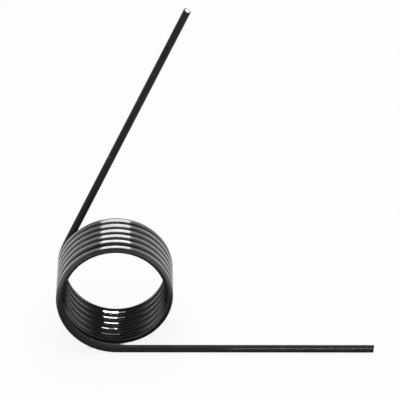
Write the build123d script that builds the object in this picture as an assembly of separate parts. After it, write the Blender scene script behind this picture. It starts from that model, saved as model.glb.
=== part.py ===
"""Torsion spring bent from one length of round steel wire.

The coil is an open, right-hand helix whose axis is +Y, and the origin lies on that axis, level with
the middle of the wire where the front leg meets the coil. The turns are evenly spaced but for the
front one, which opens as it nears its leg. The front leg leaves the underside of the coil towards +X
and lies along the same level as the bottom of every turn, so the spring rests on its turns and on
that leg. The back leg leaves the far end of the coil and rises towards +X. Both legs follow the
wire's own direction where the coil ends, as wire does that comes straight off a coiling point, so
neither has a bend of its own. All sizes are in millimetres.
"""

from build123d import *
import math
import os

# Driving dimensions
WIRE_DIAMETER = 1.6
COIL_OUTER_DIAMETER = 24.7
COIL_PITCH = 2.25  # from one turn to the next, along the coil's axis
FRONT_OPENING = 1.25  # how much further than that the front turn has opened where it meets its leg
WHOLE_TURNS = 6
LEG_ANGLE = 62.6  # between the two legs, seen along the coil's axis, in degrees
FRONT_LEG_LENGTH = 54.4
BACK_LEG_LENGTH = 60.2
CUT_END_BREAK = 0.12  # edge broken off each cut end of the wire

# How the coil's skin is divided, so that it meshes in long, even strips
SECTION_ARCS = 3
FRONT_STRETCHES = 3

# Sizes worked out from them
FULL_TURN = 360.0
WIRE_RADIUS = WIRE_DIAMETER / 2
COIL_RADIUS = COIL_OUTER_DIAMETER / 2 - WIRE_RADIUS
TURNS = WHOLE_TURNS + (FULL_TURN / 2 - LEG_ANGLE) / FULL_TURN
EVEN_TURNS = TURNS - 1  # all the turns behind the front one
FRONT_TURN_LENGTH = COIL_PITCH + FRONT_OPENING  # along the coil's axis

# The coil is built about +Z from a start on +X, then laid on its side: its start becomes the lowest
# point and its axis becomes +Y.
LYING = Plane(origin=(0, 0, 0), x_dir=(0, 0, -1), z_dir=(0, 1, 0))


def front_turn_at(angle):
    """A point of the front turn and the wire's direction there, as the turn closes up to the even pitch."""
    left = 1 - angle / FULL_TURN
    height = COIL_PITCH * angle / FULL_TURN + FRONT_OPENING * (1 - left**2)
    pitch = COIL_PITCH + 2 * FRONT_OPENING * left
    around = math.radians(angle)
    point = Vector(COIL_RADIUS * math.cos(around), COIL_RADIUS * math.sin(around), height)
    return point, Vector(-math.sin(around), math.cos(around), pitch / (math.tau * COIL_RADIUS))


def front_turn_stretch(start, span):
    """One stretch of the front turn: a cubic curve that keeps to the coil's radius."""
    reach = COIL_RADIUS * 4 / 3 * math.tan(math.radians(span) / 4)
    first, setting_out = front_turn_at(start)
    last, arriving = front_turn_at(start + span)
    return Bezier(first, first + setting_out * reach, last - arriving * reach, last).edge()


def coil_line():
    """The middle of the wire through all the turns, right-hand about +Z: the opened turn, then the even ones."""
    span = FULL_TURN / FRONT_STRETCHES
    front_turn = [front_turn_stretch(k * span, span) for k in range(FRONT_STRETCHES)]
    even_turns = Helix(pitch=COIL_PITCH, height=COIL_PITCH * EVEN_TURNS, radius=COIL_RADIUS)
    return Wire(front_turn + [(Pos(0, 0, FRONT_TURN_LENGTH) * even_turns).edge()])


def section():
    """The wire's round section on the XY plane, in equal arcs with a joint on the -X side."""
    span = FULL_TURN / SECTION_ARCS
    arcs = [CenterArc((0, 0), WIRE_RADIUS, FULL_TURN / 2 + k * span, span) for k in range(SECTION_ARCS)]
    return Face(Wire(arcs))


def coil(line):
    """The turns: the wire's section carried along the helix, with its joint on the inside of the coil."""
    start = Plane(origin=line @ 0, x_dir=(1, 0, 0), z_dir=line % 0)
    return sweep(start * section(), path=line, is_frenet=True, clean=False).solid()


def leg(root, direction, length):
    """A straight leg from the end of the coil, with the edge of its cut end broken."""
    rod = Solid.make_cylinder(WIRE_RADIUS, length, Plane(origin=root, z_dir=direction))
    cut_end = rod.faces().filter_by(GeomType.PLANE).sort_by_distance(root)[-1]
    return chamfer(cut_end.edges(), CUT_END_BREAK).solid()


def torsion_spring():
    """The whole spring, as one solid in its resting place."""
    line = coil_line()
    front_leg = leg(line @ 0, -(line % 0), FRONT_LEG_LENGTH)
    back_leg = leg(line @ 1, line % 1, BACK_LEG_LENGTH)
    wire = front_leg.fuse(coil(line), back_leg)
    return LYING.from_local_coords(wire)


def main():
    os.makedirs("parts", exist_ok=True)
    spring = torsion_spring()
    spring.label = "torsion_spring"
    export_step(spring, "parts/torsion_spring.step")


main()
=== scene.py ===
"""Looks of a torsion spring: one length of blackened round wire, coiled open with two straight legs.

The wire is swept by a Geometry Nodes tree from the same sizes as the solid it stands for. Its drawn
and coiled surface and its two sheared ends are finished separately. Lengths are in metres.
"""

import logging
import math
from dataclasses import dataclass, field
from enum import Enum
from typing import Any, Union

import bpy
from mathutils import Matrix, Vector


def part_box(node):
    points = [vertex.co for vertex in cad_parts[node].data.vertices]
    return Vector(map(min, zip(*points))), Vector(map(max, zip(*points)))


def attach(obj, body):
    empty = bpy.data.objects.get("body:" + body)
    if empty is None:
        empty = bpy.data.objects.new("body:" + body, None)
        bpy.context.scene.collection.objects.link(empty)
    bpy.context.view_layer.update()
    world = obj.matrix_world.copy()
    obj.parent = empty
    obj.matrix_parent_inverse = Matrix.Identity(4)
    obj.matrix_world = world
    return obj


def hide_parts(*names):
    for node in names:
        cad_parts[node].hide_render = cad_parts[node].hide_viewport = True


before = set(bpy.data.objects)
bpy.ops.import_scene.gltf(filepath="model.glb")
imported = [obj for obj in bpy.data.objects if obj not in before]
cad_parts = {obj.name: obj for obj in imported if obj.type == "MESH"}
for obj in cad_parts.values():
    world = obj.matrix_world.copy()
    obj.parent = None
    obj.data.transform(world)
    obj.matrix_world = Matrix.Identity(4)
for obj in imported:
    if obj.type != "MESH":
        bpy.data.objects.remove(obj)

LOG = logging.getLogger("torsion_spring")
MM = 0.001
IMAGE_WIDTH = 400  # pixels, square
SIDE_FACE_CORNERS = 4.0  # only the wire's two end faces have more

Socket = bpy.types.NodeSocket
Value = Union[Socket, float, int, bool, str, tuple, bpy.types.ID]


class Attr(Enum):
    """Names of the values that the wire's mesh carries for its finishes."""

    LAY = "lay"
    COILED = "coiled"


class Nodes:
    """A node tree with short calls that add nodes and join them."""

    def __init__(self, tree: bpy.types.NodeTree) -> None:
        """Takes the tree to work on.

        Args:
            tree: a shader or geometry node tree.
        """
        self.tree = tree

    def add(self, kind: str, inputs: dict[Any, Value] | None = None, **settings: Any) -> bpy.types.Node:
        """Adds a node, sets its options and fills its inputs.

        Args:
            kind: the node's type name.
            inputs: a value or a socket for each input, by name or by place.
            settings: the node's own options.

        Returns:
            The new node.
        """
        node = self.tree.nodes.new(kind)
        for name, value in settings.items():
            setattr(node, name, value)
        for key, value in (inputs or {}).items():
            self.join(value, node.inputs[key])
        return node

    def join(self, value: Value, socket: Socket) -> None:
        """Links a socket to an input, or sets the input's own value.

        Args:
            value: a socket to link, or a plain value.
            socket: the input that takes it.
        """
        if isinstance(value, bpy.types.NodeSocket):
            self.tree.links.new(value, socket)
        else:
            socket.default_value = value

    def math(self, operation: str, *values: Value, clamp: bool = False) -> Socket:
        """A Math node.

        Args:
            operation: the node's operation.
            values: its inputs in order.
            clamp: whether the result is kept from 0 to 1.

        Returns:
            The result's socket.
        """
        return self.add("ShaderNodeMath", dict(enumerate(values)), operation=operation, use_clamp=clamp).outputs[0]

    def vector(self, operation: str, *values: Value) -> bpy.types.Node:
        """A Vector Math node.

        Args:
            operation: the node's operation.
            values: its vector inputs in order.

        Returns:
            The node, whose outputs are Vector and Value.
        """
        return self.add("ShaderNodeVectorMath", dict(enumerate(values)), operation=operation)

    def scaled(self, vector: Value, factor: Value) -> Socket:
        """A vector times a number.

        Args:
            vector: the vector.
            factor: the number.

        Returns:
            The result's socket.
        """
        return self.add("ShaderNodeVectorMath", {0: vector, 3: factor}, operation="SCALE").outputs[0]

    def combine(self, x: Value, y: Value, z: Value) -> Socket:
        """A vector from its three parts.

        Args:
            x: first part.
            y: second part.
            z: third part.

        Returns:
            The vector's socket.
        """
        return self.add("ShaderNodeCombineXYZ", {0: x, 1: y, 2: z}).outputs[0]

    def ramp(
        self, value: Value, low: Value, high: Value, to_low: Value = 0.0, to_high: Value = 1.0, smooth: bool = False
    ) -> Socket:
        """Maps a value from one range to another, held inside it.

        Args:
            value: what is mapped.
            low: start of its range.
            high: end of its range.
            to_low: result at the start.
            to_high: result at the end.
            smooth: whether the change eases in and out.

        Returns:
            The result's socket.
        """
        kind = "SMOOTHSTEP" if smooth else "LINEAR"
        inputs = {0: value, 1: low, 2: high, 3: to_low, 4: to_high}
        return self.add("ShaderNodeMapRange", inputs, interpolation_type=kind).outputs[0]

    def mix(self, factor: Value, a: Value, b: Value) -> Socket:
        """Mixes two colours.

        Args:
            factor: 0 for the first, 1 for the second.
            a: first colour.
            b: second colour.

        Returns:
            The mixed colour's socket.
        """
        node = self.add("ShaderNodeMix", {0: factor, 6: a, 7: b}, data_type="RGBA")
        return node.outputs[2]

    def blend(self, factor: Value, a: Value, b: Value) -> Socket:
        """Mixes two numbers.

        Args:
            factor: 0 for the first, 1 for the second.
            a: first number.
            b: second number.

        Returns:
            The mixed number's socket.
        """
        return self.add("ShaderNodeMix", {0: factor, 2: a, 3: b}, data_type="FLOAT").outputs[0]


def grey(level: float, warmth: float = 0.0) -> tuple[float, float, float, float]:
    """A grey as a colour.

    Args:
        level: how light it is, from 0 to 1.
        warmth: share added to red and taken from blue.

    Returns:
        Red, green, blue and alpha.
    """
    return (level * (1 + warmth), level, level * (1 - warmth), 1.0)


def shader_group(
    name: str, inputs: dict[str, tuple[str, Any]], outputs: dict[str, str]
) -> tuple[Nodes, dict[str, Socket], bpy.types.Node]:
    """Starts a shader node group with named inputs and outputs.

    Args:
        name: the group's name.
        inputs: each input's socket kind and usual value.
        outputs: each output's socket kind.

    Returns:
        The group's nodes, its inputs by name and its output node.
    """
    tree = bpy.data.node_groups.new(name, "ShaderNodeTree")
    for label, (kind, usual) in inputs.items():
        socket = tree.interface.new_socket(label, in_out="INPUT", socket_type=kind)
        if usual is not None:
            socket.default_value = usual
    for label, kind in outputs.items():
        tree.interface.new_socket(label, in_out="OUTPUT", socket_type=kind)
    nodes = Nodes(tree)
    taken = nodes.add("NodeGroupInput")
    given = nodes.add("NodeGroupOutput")
    return nodes, {label: taken.outputs[label] for label in inputs}, given


class Effects:
    """Surface effects that more than one finish uses, each a shader node group built once."""

    def __init__(self) -> None:
        """Builds the groups."""
        self.lines = self._lines()
        self.mottle = self._mottle()
        self.specks = self._specks()

    @staticmethod
    def _lines() -> bpy.types.NodeTree:
        """Fine lines that run one way, as a die or a blade leaves them.

        Returns:
            A group from Place, Across and Run to Height and Shade.
        """
        n, taken, given = shader_group(
            "Drawn Lines",
            {
                "Place": ("NodeSocketVector", None),
                "Across": ("NodeSocketFloat", 0.1 * MM),
                "Run": ("NodeSocketFloat", 6 * MM),
            },
            {"Height": "NodeSocketFloat", "Shade": "NodeSocketFloat"},
        )
        parts = n.add("ShaderNodeSeparateXYZ", {0: taken["Place"]}).outputs
        stretched = n.combine(
            n.math("DIVIDE", parts[0], taken["Across"]),
            n.math("DIVIDE", parts[1], taken["Across"]),
            n.math("DIVIDE", parts[2], taken["Run"]),
        )
        fine_inputs = {"Vector": stretched, "Scale": 1.0, "Detail": 3.0, "Roughness": 0.6}
        fine = n.add("ShaderNodeTexNoise", fine_inputs).outputs[0]
        broad_inputs = {"Vector": n.scaled(stretched, 0.23), "Scale": 1.0, "Detail": 1.0}
        broad = n.add("ShaderNodeTexNoise", broad_inputs).outputs[0]
        n.join(n.blend(0.35, fine, broad), given.inputs["Height"])
        n.join(n.ramp(broad, 0.35, 0.65, smooth=True), given.inputs["Shade"])
        return n.tree

    @staticmethod
    def _mottle() -> bpy.types.NodeTree:
        """Soft uneven patches, as in an oxide skin or on bare steel.

        Returns:
            A group from Place, Size and Contrast to Value.
        """
        n, taken, given = shader_group(
            "Mottle",
            {
                "Place": ("NodeSocketVector", None),
                "Size": ("NodeSocketFloat", 2 * MM),
                "Contrast": ("NodeSocketFloat", 1.0),
            },
            {"Value": "NodeSocketFloat"},
        )
        at = n.scaled(taken["Place"], n.math("DIVIDE", 1.0, taken["Size"]))
        inputs = {"Vector": at, "Scale": 1.0, "Detail": 4.0, "Roughness": 0.55}
        patches = n.add("ShaderNodeTexNoise", inputs).outputs[0]
        spread = n.math("MULTIPLY", n.math("SUBTRACT", patches, 0.5), taken["Contrast"])
        n.join(n.math("ADD", spread, 0.5, clamp=True), given.inputs["Value"])
        return n.tree

    @staticmethod
    def _specks() -> bpy.types.NodeTree:
        """Scattered small marks: nicks, dust and grains.

        Returns:
            A group from Place, Spacing, Size and Share to Mask.
        """
        n, taken, given = shader_group(
            "Specks",
            {
                "Place": ("NodeSocketVector", None),
                "Spacing": ("NodeSocketFloat", 1 * MM),
                "Size": ("NodeSocketFloat", 0.15),
                "Share": ("NodeSocketFloat", 0.2),
            },
            {"Mask": "NodeSocketFloat"},
        )
        at = n.scaled(taken["Place"], n.math("DIVIDE", 1.0, taken["Spacing"]))
        cells = n.add("ShaderNodeTexVoronoi", {"Vector": at, "Scale": 1.0}, feature="F1")
        chance = n.add("ShaderNodeSeparateXYZ", {0: cells.outputs["Color"]}).outputs[0]
        picked = n.math("LESS_THAN", chance, taken["Share"])
        spot = n.ramp(cells.outputs["Distance"], taken["Size"], n.math("MULTIPLY", taken["Size"], 0.5), smooth=True)
        n.join(n.math("MULTIPLY", spot, picked), given.inputs["Mask"])
        return n.tree


class Finish:
    """What every finish shares: a material with one Principled shader."""

    name: str = ""

    def start(self) -> tuple[bpy.types.Material, Nodes, bpy.types.Node]:
        """Starts the material.

        Returns:
            The material, its nodes and its Principled shader.
        """
        material = bpy.data.materials.new(self.name)
        material.use_nodes = True
        nodes = Nodes(material.node_tree)
        return material, nodes, material.node_tree.nodes["Principled BSDF"]

    @staticmethod
    def place(nodes: Nodes, group: bpy.types.NodeTree, inputs: dict[str, Value]) -> bpy.types.Node:
        """Places an effect's group in a material.

        Args:
            nodes: the material's nodes.
            group: the effect.
            inputs: this material's values for it.

        Returns:
            The group's node.
        """
        node = nodes.add("ShaderNodeGroup", node_tree=group)
        for label, value in inputs.items():
            nodes.join(value, node.inputs[label])
        return node


@dataclass(frozen=True)
class BlackenedWire(Finish):
    """The wire's skin: black, under a clear film that makes the gloss.

    The film is full on the turns, thinner on their inside, and all but missing on the coil's inner
    bottom and on the legs. Both that and the low index of the black under it are for the look.
    """

    name: str = "blackened_wire"
    leg_tone: float = 0.025
    leg_warmth: float = 0.02
    coil_tone: float = 0.008
    leg_roughness: float = 0.2
    coil_roughness: float = 0.12
    index: float = 1.08
    film_roughness: float = 0.15
    leg_film: float = 0.02
    coil_film: float = 1.0
    inner_film: float = 0.55
    bottom_film: float = 0.0
    inner_side: tuple[float, float] = (-0.35 * MM, -0.6 * MM)  # from the wire's middle, away from the axis
    bottom_side: tuple[float, float] = (-7.5 * MM, -10 * MM)  # up from the coil's axis
    line_width: float = 0.11 * MM
    line_run: float = 7 * MM
    line_depth: float = 0.004 * MM
    line_strength: float = 0.8
    line_shades: tuple[float, float] = (0.9, 1.06)
    line_roughness: float = 0.06
    patch_size: float = 1.8 * MM
    patch_contrast: float = 1.6
    patch_shades: tuple[float, float] = (0.82, 1.12)
    patch_roughness: float = 0.10
    nick_spacing: float = 2.6 * MM
    nick_size: float = 0.07
    nick_share: float = 0.25
    nick_tone: float = 0.12
    nick_warmth: float = 0.03
    nick_roughness: float = 0.15
    nick_depth: float = 0.6  # in depths of a line

    def make(self, effects: Effects) -> bpy.types.Material:
        """Builds the material.

        Args:
            effects: the shared effects.

        Returns:
            The material.
        """
        material, n, shader = self.start()
        lay = n.add("ShaderNodeAttribute", attribute_name=Attr.LAY.value).outputs["Vector"]
        coiled = n.add("ShaderNodeAttribute", attribute_name=Attr.COILED.value).outputs["Fac"]
        lines = self.place(n, effects.lines, {"Place": lay, "Across": self.line_width, "Run": self.line_run})
        patch_inputs = {"Place": lay, "Size": self.patch_size, "Contrast": self.patch_contrast}
        patches = self.place(n, effects.mottle, patch_inputs).outputs["Value"]
        nick_inputs = {"Place": lay, "Spacing": self.nick_spacing, "Size": self.nick_size, "Share": self.nick_share}
        nicks = self.place(n, effects.specks, nick_inputs).outputs["Mask"]

        plain = n.mix(coiled, grey(self.leg_tone, self.leg_warmth), grey(self.coil_tone))
        uneven = n.blend(patches, *self.patch_shades)
        streaks = n.math("MULTIPLY", uneven, n.blend(lines.outputs["Shade"], *self.line_shades))
        tone = n.mix(nicks, n.scaled(plain, streaks), grey(self.nick_tone, self.nick_warmth))
        n.join(tone, shader.inputs["Base Color"])
        n.join(self._film(n, lay, coiled, streaks), shader.inputs["Coat Weight"])
        shader.inputs["Coat Roughness"].default_value = self.film_roughness
        shader.inputs["IOR"].default_value = self.index

        rough = n.blend(coiled, self.leg_roughness, self.coil_roughness)
        rough = n.math("MULTIPLY_ADD", n.math("SUBTRACT", patches, 0.5), self.patch_roughness, rough)
        rough = n.math("MULTIPLY_ADD", lines.outputs["Height"], self.line_roughness, rough)
        n.join(n.math("MULTIPLY_ADD", nicks, self.nick_roughness, rough), shader.inputs["Roughness"])

        height = n.math("MULTIPLY_ADD", nicks, -self.nick_depth, lines.outputs["Height"])
        bump_inputs = {"Height": height, "Distance": self.line_depth, "Strength": self.line_strength}
        n.join(n.add("ShaderNodeBump", bump_inputs).outputs[0], shader.inputs["Normal"])
        return material

    def _film(self, n: Nodes, lay: Socket, coiled: Socket, streaks: Socket) -> Socket:
        """Works out how much film each place has.

        Args:
            n: the material's nodes.
            lay: where the place lies on the straightened wire.
            coiled: 1 on the turns, 0 on the legs.
            streaks: how the film varies with the fine lines and patches.

        Returns:
            The film's share.
        """
        outward = n.add("ShaderNodeSeparateXYZ", {0: lay}).outputs[0]
        inner = n.ramp(outward, *self.inner_side, smooth=True)
        where = n.add("ShaderNodeTexCoord").outputs["Object"]
        bottom = n.ramp(n.add("ShaderNodeSeparateXYZ", {0: where}).outputs[2], *self.bottom_side, smooth=True)
        turned = n.blend(inner, self.coil_film, n.blend(bottom, self.inner_film, self.bottom_film))
        return n.math("MULTIPLY", n.blend(coiled, self.leg_film, turned), streaks)


@dataclass(frozen=True)
class ShearedSteel(Finish):
    """The bare steel of a cut end, grainy from the shear, darkened towards its edge by painted shade."""

    name: str = "sheared_steel"
    tone: float = 0.6
    warmth: float = 0.02
    # Painted shade: the cut face darkens to this tone between these distances from the wire's middle, standing in
    # for the shadow of its burr.
    rim_shadow_tone: float = 0.05
    rim: tuple[float, float] = (0.4 * MM, 0.56 * MM)  # from the wire's middle
    roughness: float = 0.36
    patch_size: float = 0.5 * MM
    patch_contrast: float = 1.5
    patch_shades: tuple[float, float] = (0.75, 1.1)
    grain_spacing: float = 0.12 * MM
    grain_size: float = 0.4
    grain_share: float = 0.5
    grain_shade: float = 0.82
    grain_roughness: float = 0.14
    grain_depth: float = 0.5  # in depths of a line
    line_width: float = 0.05 * MM
    line_run: float = 0.6 * MM
    line_depth: float = 0.01 * MM
    line_strength: float = 0.6

    def make(self, effects: Effects) -> bpy.types.Material:
        """Builds the material.

        Args:
            effects: the shared effects.

        Returns:
            The material.
        """
        material, n, shader = self.start()
        where = n.add("ShaderNodeTexCoord").outputs["Object"]
        lines = self.place(n, effects.lines, {"Place": where, "Across": self.line_width, "Run": self.line_run})
        patch_inputs = {"Place": where, "Size": self.patch_size, "Contrast": self.patch_contrast}
        patches = self.place(n, effects.mottle, patch_inputs).outputs["Value"]
        grain_inputs = {
            "Place": where,
            "Spacing": self.grain_spacing,
            "Size": self.grain_size,
            "Share": self.grain_share,
        }
        grains = self.place(n, effects.specks, grain_inputs).outputs["Mask"]
        shade = n.math("MULTIPLY", n.blend(patches, *self.patch_shades), n.blend(grains, 1.0, self.grain_shade))
        lay = n.add("ShaderNodeAttribute", attribute_name=Attr.LAY.value).outputs["Vector"]
        spread = n.vector("LENGTH", n.vector("MULTIPLY", lay, (1.0, 1.0, 0.0)).outputs[0]).outputs["Value"]
        # painted shade towards the edge of the cut face
        rim = n.ramp(spread, *self.rim, smooth=True)
        steel = n.scaled(grey(self.tone, self.warmth)[:3], shade)
        n.join(n.mix(rim, steel, grey(self.rim_shadow_tone)), shader.inputs["Base Color"])
        shader.inputs["Metallic"].default_value = 1.0
        n.join(n.math("MULTIPLY_ADD", grains, self.grain_roughness, self.roughness), shader.inputs["Roughness"])
        height = n.math("MULTIPLY_ADD", grains, -self.grain_depth, lines.outputs["Height"])
        bump_inputs = {"Height": height, "Distance": self.line_depth, "Strength": self.line_strength}
        n.join(n.add("ShaderNodeBump", bump_inputs).outputs[0], shader.inputs["Normal"])
        return material


@dataclass(frozen=True)
class SpringWire:
    """The spring's wire from one cut end to the other: front leg, coil and back leg.

    The coil is a right-hand helix about +Y that starts at its lowest point. Its front turn opens
    towards the leg, and both legs go on along the wire's own direction.
    """

    wire_diameter: float = 1.6 * MM
    coil_outer_diameter: float = 24.7 * MM
    pitch: float = 2.25 * MM
    front_opening: float = 1.25 * MM
    whole_turns: int = 6
    leg_angle: float = 62.6
    front_leg: float = 54.4 * MM
    back_leg: float = 60.2 * MM
    rim_break: float = 0.12 * MM
    front_cut: tuple[float, float, float] = (0.0, -0.05, -0.12)
    back_cut: tuple[float, float, float] = (0.0, -0.25, 0.0)
    cut_reach: float = 2.0 * MM
    coiled_start: tuple[float, float] = (15 * MM, 25 * MM)  # along the coil from the front leg's root
    coiled_end: float = 3 * MM  # on each side of the back leg's root
    sides: int = 36
    step: float = 0.6 * MM
    rim_rings: int = 4
    finish: BlackenedWire = field(default_factory=BlackenedWire)
    end_finish: ShearedSteel = field(default_factory=ShearedSteel)

    @property
    def turns(self) -> float:
        """The coil's turns, with the part turn that sets the angle between the legs."""
        return self.whole_turns + (180.0 - self.leg_angle) / 360.0

    def sizes(self) -> dict[str, tuple[str, Any]]:
        """The tree's named inputs.

        Returns:
            Each input's socket kind and value.
        """
        length = number = "NodeSocketFloat"
        whole, direction = "NodeSocketInt", "NodeSocketVector"
        return {
            "Wire Radius": (length, self.wire_diameter / 2),
            "Coil Radius": (length, (self.coil_outer_diameter - self.wire_diameter) / 2),
            "Pitch": (length, self.pitch),
            "Front Opening": (length, self.front_opening),
            "Turns": (number, self.turns),
            "Front Leg": (length, self.front_leg),
            "Back Leg": (length, self.back_leg),
            "Rim Break": (length, self.rim_break),
            "Front Cut": (direction, self.front_cut),
            "Back Cut": (direction, self.back_cut),
            "Cut Reach": (length, self.cut_reach),
            "Step": (length, self.step),
            "Sides": (whole, self.sides),
            "Rim Rings": (whole, self.rim_rings),
        }

    def tree(self, skin: bpy.types.Material, ends: bpy.types.Material) -> bpy.types.NodeTree:
        """Builds the Geometry Nodes tree that sweeps the wire.

        Args:
            skin: finish of the wire's side.
            ends: finish of its two cut ends.

        Returns:
            The tree, which ends in Realize Instances and Set Material.
        """
        tree = bpy.data.node_groups.new("Coiled Wire", "GeometryNodeTree")
        tree.interface.new_socket("Geometry", in_out="INPUT", socket_type="NodeSocketGeometry")
        for label, (kind, usual) in self.sizes().items():
            tree.interface.new_socket(label, in_out="INPUT", socket_type=kind).default_value = usual
        tree.interface.new_socket("Geometry", in_out="OUTPUT", socket_type="NodeSocketGeometry")
        n = Nodes(tree)
        size = n.add("NodeGroupInput").outputs

        arc = n.math("MULTIPLY", size["Coil Radius"], n.math("MULTIPLY", size["Turns"], math.tau))
        coil_end = n.math("ADD", size["Front Leg"], arc)
        length = n.math("ADD", coil_end, size["Back Leg"])

        count = n.math("ROUND", n.math("DIVIDE", length, size["Step"]))
        line = n.add("GeometryNodeCurvePrimitiveLine", {"End": n.combine(0.0, 0.0, length)})
        rings = n.add("GeometryNodeResampleCurve", {"Curve": line.outputs[0], "Count": count})

        along, front_share, back_share = self._stations(n, size, count, length)
        held = n.math("MINIMUM", n.math("MAXIMUM", along, size["Front Leg"]), coil_end)
        turned = n.math("DIVIDE", n.math("SUBTRACT", held, size["Front Leg"]), size["Coil Radius"])
        sine, cosine = n.math("SINE", turned), n.math("COSINE", turned)
        outward = n.combine(n.math("MULTIPLY", sine, -1.0), 0.0, n.math("MULTIPLY", cosine, -1.0))
        around = n.math("DIVIDE", turned, math.tau)
        left = n.math("MAXIMUM", n.math("SUBTRACT", 1.0, around), 0.0)
        opened = n.math("MULTIPLY", size["Front Opening"], n.math("SUBTRACT", 1.0, n.math("POWER", left, 2.0)))
        lift = n.combine(0.0, n.math("MULTIPLY_ADD", size["Pitch"], around, opened), 0.0)
        on_coil = n.vector("ADD", n.scaled(outward, size["Coil Radius"]), lift).outputs[0]
        local_pitch = n.math("MULTIPLY_ADD", n.math("MULTIPLY", size["Front Opening"], 2.0), left, size["Pitch"])
        slope = n.math("DIVIDE", local_pitch, n.math("MULTIPLY", size["Coil Radius"], math.tau))
        heading = n.vector("NORMALIZE", n.combine(n.math("MULTIPLY", cosine, -1.0), slope, sine)).outputs[0]
        centre = n.vector("ADD", on_coil, n.scaled(heading, n.math("SUBTRACT", along, held))).outputs[0]

        path = n.add("GeometryNodeCaptureAttribute", domain="POINT")
        carried = {}
        for label, kind, value in (
            ("along", "FLOAT", along),
            ("centre", "VECTOR", centre),
            ("heading", "VECTOR", heading),
            ("outward", "VECTOR", outward),
        ):
            path.capture_items.new(kind, label)
            n.join(value, path.inputs[label])
            carried[label] = path.outputs[label]
        n.join(rings.outputs[0], path.inputs[0])
        placed = n.add("GeometryNodeSetPosition", {"Geometry": path.outputs[0], "Position": carried["centre"]})

        swept = self._sweep(n, size, placed.outputs[0], front_share, back_share)
        cut = self._cut(n, size, swept, carried, length)
        marked = self._mark(n, size, cut, carried, coil_end)
        self._dress(n, marked, skin, ends)
        return tree

    @staticmethod
    def _stations(n: Nodes, size: Any, count: Socket, length: Socket) -> tuple[Socket, Socket, Socket]:
        """Places the rings along the wire, close together over each end's rounded rim.

        Args:
            n: the tree's nodes.
            size: the tree's inputs.
            count: how many rings there are.
            length: the wire's whole length.

        Returns:
            Each ring's distance from the front end, and how far it is over the front and the back rim.
        """
        index = n.add("GeometryNodeInputIndex").outputs[0]
        last = n.math("SUBTRACT", count, 1.0)
        inner = n.math("SUBTRACT", last, size["Rim Rings"])
        front_share = n.ramp(index, 0.0, size["Rim Rings"])
        middle_share = n.ramp(index, size["Rim Rings"], inner)
        back_share = n.ramp(index, inner, last)
        body = n.math("MULTIPLY_ADD", size["Rim Break"], -2.0, length)
        rims = n.math("MULTIPLY", size["Rim Break"], n.math("ADD", front_share, back_share))
        return n.math("MULTIPLY_ADD", body, middle_share, rims), front_share, back_share

    @staticmethod
    def _sweep(n: Nodes, size: Any, path: Socket, front_share: Socket, back_share: Socket) -> Socket:
        """Carries the round section along the path, drawn in over each rim.

        Args:
            n: the tree's nodes.
            size: the tree's inputs.
            path: the wire's middle line.
            front_share: how far a ring is over the front rim.
            back_share: how far it is over the back rim.

        Returns:
            The swept mesh.
        """
        front = n.math("SUBTRACT", 1.0, front_share)
        drop = 2.0
        for share in (front, back_share):
            arch = n.math("SQRT", n.math("MAXIMUM", n.math("SUBTRACT", 1.0, n.math("POWER", share, 2.0)), 0.0))
            drop = n.math("SUBTRACT", drop, arch)
        shrink = n.math("MULTIPLY", drop, n.math("DIVIDE", size["Rim Break"], size["Wire Radius"]))
        round_inputs = {"Resolution": size["Sides"], "Radius": size["Wire Radius"]}
        section = n.add("GeometryNodeCurvePrimitiveCircle", round_inputs)
        inputs = {
            "Curve": path,
            "Profile Curve": section.outputs[0],
            "Scale": n.math("SUBTRACT", 1.0, shrink),
            "Fill Caps": True,
        }
        return n.add("GeometryNodeCurveToMesh", inputs).outputs[0]

    @staticmethod
    def _cut(n: Nodes, size: Any, mesh: Socket, carried: dict[str, Socket], length: Socket) -> Socket:
        """Leans each cut end, as a shear leaves it, without making the wire longer.

        Args:
            n: the tree's nodes.
            size: the tree's inputs.
            mesh: the swept mesh.
            carried: the path's values, on the mesh.
            length: the wire's whole length.

        Returns:
            The mesh with its ends leaning.
        """
        position = n.add("GeometryNodeInputPosition").outputs[0]
        spoke = n.vector("SUBTRACT", position, carried["centre"]).outputs[0]
        shifts = []
        for lean, start in (("Front Cut", 0.0), ("Back Cut", length)):
            tilt = n.vector("DOT_PRODUCT", spoke, size[lean]).outputs["Value"]
            most = n.math("MULTIPLY", n.vector("LENGTH", size[lean]).outputs["Value"], size["Wire Radius"])
            gap = n.math("ABSOLUTE", n.math("SUBTRACT", carried["along"], start))
            near = n.ramp(gap, 0.0, size["Cut Reach"], 1.0, 0.0)
            shifts.append(n.math("MULTIPLY", n.math("ADD", tilt, most), near))
        shift = n.math("SUBTRACT", shifts[0], shifts[1])
        offset = n.scaled(carried["heading"], shift)
        return n.add("GeometryNodeSetPosition", {"Geometry": mesh, "Offset": offset}).outputs[0]

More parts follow.
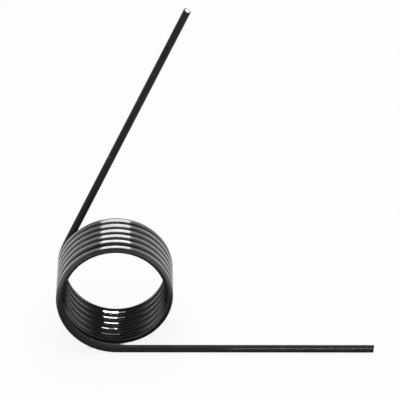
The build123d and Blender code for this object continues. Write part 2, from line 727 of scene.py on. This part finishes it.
    def _mark(self, n: Nodes, size: Any, mesh: Socket, carried: dict[str, Socket], coil_end: Socket) -> Socket:
        """Stores where each point lies on the straightened wire, and how far it was coiled.

        Args:
            n: the tree's nodes.
            size: the tree's inputs.
            mesh: the wire's mesh.
            carried: the path's values, on the mesh.
            coil_end: where the coil stops along the wire.

        Returns:
            The mesh with both values.
        """
        position = n.add("GeometryNodeInputPosition").outputs[0]
        spoke = n.vector("SUBTRACT", position, carried["centre"]).outputs[0]
        side = n.vector("CROSS_PRODUCT", carried["heading"], carried["outward"]).outputs[0]
        lay = n.combine(
            n.vector("DOT_PRODUCT", spoke, carried["outward"]).outputs["Value"],
            n.vector("DOT_PRODUCT", spoke, side).outputs["Value"],
            carried["along"],
        )
        begun = n.ramp(n.math("SUBTRACT", carried["along"], size["Front Leg"]), *self.coiled_start, smooth=True)
        past = n.math("SUBTRACT", carried["along"], coil_end)
        ended = n.ramp(past, -self.coiled_end, self.coiled_end, 1.0, 0.0, smooth=True)
        coiled = n.math("MULTIPLY", begun, ended)
        marked = mesh
        for attr, kind, value in ((Attr.LAY, "FLOAT_VECTOR", lay), (Attr.COILED, "FLOAT", coiled)):
            inputs = {"Geometry": marked, "Name": attr.value}
            stored = n.add("GeometryNodeStoreNamedAttribute", inputs, data_type=kind, domain="POINT")
            n.join(value, stored.inputs["Value"])
            marked = stored.outputs[0]
        return marked

    @staticmethod
    def _dress(n: Nodes, mesh: Socket, skin: bpy.types.Material, ends: bpy.types.Material) -> None:
        """Smooths the side, leaves the ends flat and gives both their finish.

        Args:
            n: the tree's nodes.
            mesh: the wire's mesh.
            skin: the side's finish.
            ends: the ends' finish.
        """
        corners = n.add("GeometryNodeInputMeshFaceNeighbors").outputs["Vertex Count"]
        is_end = n.math("GREATER_THAN", corners, SIDE_FACE_CORNERS)
        is_side = n.math("SUBTRACT", 1.0, is_end)
        smooth = n.add("GeometryNodeSetShadeSmooth", {"Geometry": mesh, "Shade Smooth": is_side})
        real = n.add("GeometryNodeRealizeInstances", {"Geometry": smooth.outputs[0]})
        side = n.add("GeometryNodeSetMaterial", {"Geometry": real.outputs[0], "Material": skin})
        end_inputs = {"Geometry": side.outputs[0], "Selection": is_end, "Material": ends}
        both = n.add("GeometryNodeSetMaterial", end_inputs)
        given = n.add("NodeGroupOutput")
        n.join(both.outputs[0], given.inputs[0])

    def build(self, effects: Effects) -> bpy.types.Object:
        """Makes the wire as one plain mesh in its place.

        Args:
            effects: the shared surface effects.

        Returns:
            The wire's object, at the origin.
        """
        skin = self.finish.make(effects)
        ends = self.end_finish.make(effects)
        tree = self.tree(skin, ends)
        blank = bpy.data.objects.new("wire_pattern", bpy.data.meshes.new("wire_pattern"))
        bpy.context.scene.collection.objects.link(blank)
        swept = blank.modifiers.new("coil", "NODES")
        swept.node_group = tree
        values = self.sizes()
        for item in tree.interface.items_tree:
            if item.in_out == "INPUT" and item.name in values:
                swept[item.identifier] = values[item.name][1]
        evaluated = blank.evaluated_get(bpy.context.evaluated_depsgraph_get())
        mesh = bpy.data.meshes.new_from_object(evaluated)
        mesh.name = "spring_wire"
        blank.modifiers.remove(swept)
        bpy.data.objects.remove(blank)
        wire = bpy.data.objects.new("spring_wire", mesh)
        bpy.context.scene.collection.objects.link(wire)
        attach(wire, "root")
        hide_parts("torsion_spring")
        return wire


@dataclass(frozen=True)
class PaleFloor(Finish):
    """A plain white sheet under the spring, which keeps the spring's shadow.

    A painted shadow darkens it where it shows between the front leg's root and the next turn, both in its colour
    and in the white that the camera sees.
    Reflections see it as a graded glow: pale in front, dark under the coil, bright on both sides.
    """

    name: str = "pale_floor"
    reach: float = 1.2
    tone: float = 0.8
    tooth: tuple[float, float] = (0.985, 1.015)
    tooth_scale: float = 900.0
    roughness: float = 0.9
    specular: float = 0.1
    glow: float = 0.88
    # painted shadow: how dark it is at most, and its fades from left to right and from front to back
    painted_shadow_depth: float = 0.93
    shadow_left: tuple[float, float] = (-6.5 * MM, -5 * MM)
    shadow_right: tuple[float, float] = (2 * MM, 0.5 * MM)
    shadow_front: tuple[float, float] = (1.5 * MM, 2.5 * MM)
    shadow_back: tuple[float, float] = (6.5 * MM, 5.5 * MM)
    reflected_front: float = 0.7
    reflected_back: float = 0.05
    reflected_side: float = 2.4
    front_fade: tuple[float, float] = (-30 * MM, 4 * MM)
    left_fade: tuple[float, float] = (-12 * MM, -34 * MM)
    right_fade: tuple[float, float] = (12 * MM, 34 * MM)
    far_right_fade: tuple[float, float] = (60 * MM, 85 * MM)
    leg_line: float = -2 * MM  # the front leg's place from front to back
    leg_gap: tuple[float, float] = (5 * MM, 9 * MM)  # how far the right side's brightness keeps from it
    corners: int = 96

    def make(self) -> bpy.types.Material:
        """Builds the floor's material.

        Returns:
            The material: a matt sheet that the camera sees as nearly plain white.
        """
        material, n, shader = self.start()
        where = n.add("ShaderNodeTexCoord").outputs["Object"]
        tooth_inputs = {"Vector": where, "Scale": self.tooth_scale, "Detail": 2.0}
        tooth = n.add("ShaderNodeTexNoise", tooth_inputs).outputs[0]
        across, along, _ = n.add("ShaderNodeSeparateXYZ", {0: where}).outputs
        # painted shadow: 1 outside it, less inside it
        outside_painted_shadow = n.math("SUBTRACT", 1.0, self._painted_shadow(n, across, along))
        # the floor's random tone, darkened inside the painted shadow
        shade = n.math("MULTIPLY", n.blend(tooth, *self.tooth), outside_painted_shadow)
        n.join(n.scaled((self.tone,) * 3, shade), shader.inputs["Base Color"])
        shader.inputs["Roughness"].default_value = self.roughness
        shader.inputs["Specular IOR Level"].default_value = self.specular
        ray = n.add("ShaderNodeLightPath").outputs
        mirrored = n.math("MAXIMUM", ray["Is Glossy Ray"], ray["Is Transmission Ray"])
        strength = n.blend(mirrored, 1.0, self._reflected(n, across, along))
        light = n.add("ShaderNodeEmission", {"Color": grey(1.0), "Strength": strength})
        # the camera's white glow is dimmed inside the painted shadow
        seen = n.blend(ray["Is Camera Ray"], mirrored, n.math("MULTIPLY", outside_painted_shadow, self.glow))
        mixed = n.add("ShaderNodeMixShader", {0: seen, 1: shader.outputs[0], 2: light.outputs[0]})
        n.join(mixed.outputs[0], material.node_tree.nodes["Material Output"].inputs[0])
        return material

    def _painted_shadow(self, n: Nodes, across: Socket, along: Socket) -> Socket:
        """The painted shadow under the front of the coil.

        Args:
            n: the material's nodes.
            across: the place from left to right.
            along: the place from front to back.

        Returns:
            How dark it is.
        """
        wide = n.math("MULTIPLY", n.ramp(across, *self.shadow_left), n.ramp(across, *self.shadow_right))
        deep = n.math("MULTIPLY", n.ramp(along, *self.shadow_front), n.ramp(along, *self.shadow_back))
        return n.math("MULTIPLY", n.math("MULTIPLY", wide, deep), self.painted_shadow_depth)

    def _reflected(self, n: Nodes, across: Socket, along: Socket) -> Socket:
        """How brightly the floor glows to reflections at each place.

        Args:
            n: the material's nodes.
            across: the place from left to right.
            along: the place from front to back.

        Returns:
            The brightness.
        """
        lengthways = n.ramp(along, *self.front_fade, self.reflected_front, self.reflected_back, smooth=True)
        left = n.ramp(across, *self.left_fade, smooth=True)
        off_leg = n.ramp(n.math("ABSOLUTE", n.math("SUBTRACT", along, self.leg_line)), *self.leg_gap)
        right = n.math("MULTIPLY", n.ramp(across, *self.right_fade, smooth=True), off_leg)
        far_right = n.ramp(across, *self.far_right_fade, smooth=True)
        beside = n.math("MAXIMUM", n.math("MAXIMUM", left, right), far_right)
        return n.math("MAXIMUM", lengthways, n.math("MULTIPLY", beside, self.reflected_side))

    def build(self, level: float) -> bpy.types.Object:
        """Lays the floor.

        Args:
            level: height of its top.

        Returns:
            The floor's object.
        """
        mesh = bpy.data.meshes.new("floor")
        turns = [2 * math.pi * k / self.corners for k in range(self.corners)]
        rim = [(self.reach * math.cos(a), self.reach * math.sin(a), level) for a in turns]
        mesh.from_pydata(rim, [], [tuple(range(self.corners))])
        mesh.materials.append(self.make())
        floor = bpy.data.objects.new("floor", mesh)
        bpy.context.scene.collection.objects.link(floor)
        return floor


@dataclass(frozen=True)
class Softbox:
    """A wide lamp box above the spring, long from front to back, which reflections don't see.

    Its left and right edges and half its length are angles from straight up, in degrees.
    """

    height: float = 0.6
    left: float = 22.0
    right: float = 32.0
    half_length: float = 40.0
    radiance: float = 2.4

    def build(self) -> bpy.types.Object:
        """Hangs the lamp.

        Returns:
            The lamp's object.
        """
        low, high = -math.tan(math.radians(self.left)), math.tan(math.radians(self.right))
        width = self.height * (high - low)
        length = 2 * self.height * math.tan(math.radians(self.half_length))
        lamp = bpy.data.lights.new("softbox", "AREA")
        lamp.shape = "RECTANGLE"
        lamp.size, lamp.size_y = width, length
        lamp.energy = self.radiance * math.pi * width * length
        box = bpy.data.objects.new("softbox", lamp)
        box.location = (self.height * (low + high) / 2, 0.0, self.height)
        box.visible_camera = False
        box.visible_glossy = False
        bpy.context.scene.collection.objects.link(box)
        return box


@dataclass(frozen=True)
class ShineLight:
    """A bright panel that is seen only as a shine on the wire and lights nothing else.

    It faces down, turned towards the back by its lean, and its light keeps within its spread, both in
    degrees.
    """

    name: str
    across: tuple[float, float]
    along: tuple[float, float]
    height: float
    radiance: float
    lean: float = 0.0
    spread: float = 180.0

    def build(self) -> bpy.types.Object:
        """Hangs the panel.

        Returns:
            The panel's object.
        """
        width, length = self.across[1] - self.across[0], self.along[1] - self.along[0]
        lamp = bpy.data.lights.new(self.name, "AREA")
        lamp.shape = "RECTANGLE"
        lamp.size, lamp.size_y = width, length
        lamp.spread = math.radians(self.spread)
        lamp.energy = self.radiance * math.pi * width * length
        panel = bpy.data.objects.new(self.name, lamp)
        panel.location = (sum(self.across) / 2, sum(self.along) / 2, self.height)
        panel.rotation_euler = (math.radians(self.lean), 0.0, 0.0)
        panel.visible_camera = False
        panel.visible_diffuse = False
        bpy.context.scene.collection.objects.link(panel)
        return panel


@dataclass(frozen=True)
class BoreRow:
    """The shine on one turn's inner bottom: a leaning panel in front of it, in stretches.

    Each stretch has the end of its name, its left and right edge and its radiance. The radiances were
    set one by one for the look.
    """

    name: str
    along: tuple[float, float]
    stretches: tuple[tuple[str, float, float, float], ...]
    height: float = -10.5 * MM
    lean: float = 61.0

    def panels(self) -> list[ShineLight]:
        """The row's panels, one for each stretch.

        Returns:
            The panels, from left to right.
        """
        return [
            ShineLight(self.name + end, (left, right), self.along, self.height, radiance, self.lean)
            for end, left, right, radiance in self.stretches
        ]


OVER_COIL = ShineLight("shine_over_coil", (-7.0 * MM, 11.4 * MM), (-3 * MM, 26 * MM), 26.4 * MM, 16.5)
ON_LEG = ShineLight("shine_on_leg", (22 * MM, 60 * MM), (-14.4 * MM, -10.4 * MM), -4.7 * MM, 4.5, 55.0, 50.0)
BORE_ROWS = (
    BoreRow(
        "shine_in_bore_1",
        (12.8 * MM, 13.75 * MM),
        (("", -2.9 * MM, 0.1 * MM, 210.0), ("_end", 0.1 * MM, 1.5 * MM, 7.0)),
    ),
    BoreRow(
        "shine_in_bore_2",
        (10.63 * MM, 11.45 * MM),
        (("", -2.75 * MM, -0.1 * MM, 75.0), ("_end", -0.1 * MM, 1.4 * MM, 5.5)),
    ),
    BoreRow(
        "shine_in_bore_3",
        (8.38 * MM, 9.15 * MM),
        (("", -2.6 * MM, -0.9 * MM, 48.0), ("_end", -0.9 * MM, 0.1 * MM, 75.0)),
    ),
    BoreRow(
        "shine_in_bore_4",
        (6.13 * MM, 6.9 * MM),
        (
            ("", -3.1 * MM, -1.7 * MM, 36.0),
            ("_end", -1.7 * MM, -0.6 * MM, 9.0),
            ("_spot", -0.6 * MM, -0.1 * MM, 60.0),
        ),
    ),
    BoreRow("shine_in_bore_5", (3.88 * MM, 4.65 * MM), (("", -3.2 * MM, 0.5 * MM, 5.0),)),
)


@dataclass(frozen=True)
class Surroundings:
    """The studio around the spring: white to the camera, a quiet grey to everything it lights.

    Reflections see it graded. The limits of each fade are parts of a direction of length 1.
    """

    level: float = 0.32
    reflected_front: float = 0.5
    reflected_corners: float = 1.2
    reflected_low: float = 0.05
    reflected_high: float = 3.2
    front_fade: tuple[float, float] = (-0.5, -0.05)
    corner_fade: tuple[float, float] = (0.3, 0.6)
    high_fade: tuple[float, float] = (0.2, 0.55)

    def build(self) -> bpy.types.World:
        """Makes the world.

        Returns:
            The world.
        """
        world = bpy.data.worlds.new("studio")
        world.use_nodes = True
        n = Nodes(world.node_tree)
        plain = world.node_tree.nodes["Background"]
        plain.inputs["Color"].default_value = grey(1.0)
        ray = n.add("ShaderNodeLightPath").outputs
        mirrored = n.math("MAXIMUM", ray["Is Glossy Ray"], ray["Is Transmission Ray"])
        towards = n.add("ShaderNodeTexCoord").outputs["Generated"]
        across, along, up = n.add("ShaderNodeSeparateXYZ", {0: towards}).outputs
        aside = n.math("ABSOLUTE", across)
        behind = n.ramp(along, *self.front_fade, smooth=True)
        raised = n.ramp(n.math("MAXIMUM", aside, up), *self.high_fade, smooth=True)
        ahead = n.ramp(aside, *self.corner_fade, self.reflected_front, self.reflected_corners, smooth=True)
        reflected = n.blend(behind, ahead, n.blend(raised, self.reflected_low, self.reflected_high))
        unseen = n.blend(mirrored, self.level, reflected)
        n.join(n.blend(ray["Is Camera Ray"], unseen, 1.0), plain.inputs["Strength"])
        bpy.context.scene.world = world
        return world


@dataclass(frozen=True)
class Viewpoint:
    """The camera: a long lens that looks down on the spring from the front."""

    place: tuple[float, float, float] = (17.43 * MM, -494.62 * MM, 297.68 * MM)
    yaw: float = 0.0024
    pitch: float = 0.5058
    roll: float = -0.0326
    focal_pixels: float = 2749.8
    sensor: float = 36.0
    clip: tuple[float, float] = (0.01, 10.0)

    def axes(self) -> Matrix:
        """The camera's own directions.

        Returns:
            A matrix whose columns are right, up and backwards.
        """
        flat = math.cos(self.pitch)
        ahead = Vector((math.sin(self.yaw) * flat, math.cos(self.yaw) * flat, -math.sin(self.pitch)))
        level = Vector((math.cos(self.yaw), -math.sin(self.yaw), 0.0))
        up = level.cross(ahead)
        right = level * math.cos(self.roll) + up * math.sin(self.roll)
        top = up * math.cos(self.roll) - level * math.sin(self.roll)
        return Matrix((right, top, -ahead)).transposed()

    def build(self) -> bpy.types.Object:
        """Sets up the camera.

        Returns:
            The camera's object, which is the scene's camera.
        """
        data = bpy.data.cameras.new("camera")
        data.sensor_width = self.sensor
        data.lens = self.focal_pixels * self.sensor / IMAGE_WIDTH
        data.clip_start, data.clip_end = self.clip
        camera = bpy.data.objects.new("camera", data)
        camera.matrix_world = Matrix.Translation(self.place) @ self.axes().to_4x4()
        bpy.context.scene.collection.objects.link(camera)
        bpy.context.scene.camera = camera
        return camera


def main() -> None:
    """Builds the spring and the studio, and reports each piece."""
    logging.basicConfig(level=logging.INFO, format="%(name)s: %(message)s")
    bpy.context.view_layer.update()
    bpy.context.scene.view_settings.view_transform = "Standard"

    effects = Effects()
    wire = SpringWire().build(effects)
    LOG.info("%s: %d faces", wire.name, len(wire.data.polygons))
    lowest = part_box("torsion_spring")[0].z
    LOG.info("%s at %.4f m", PaleFloor().build(lowest).name, lowest)
    LOG.info("%s", Softbox().build().name)
    in_bore = [panel for row in BORE_ROWS for panel in row.panels()]
    for shine in (OVER_COIL, ON_LEG, *in_bore):
        LOG.info("%s", shine.build().name)
    LOG.info("%s", Surroundings().build().name)
    LOG.info("%s", Viewpoint().build().name)


if __name__ == "__main__":
    main()
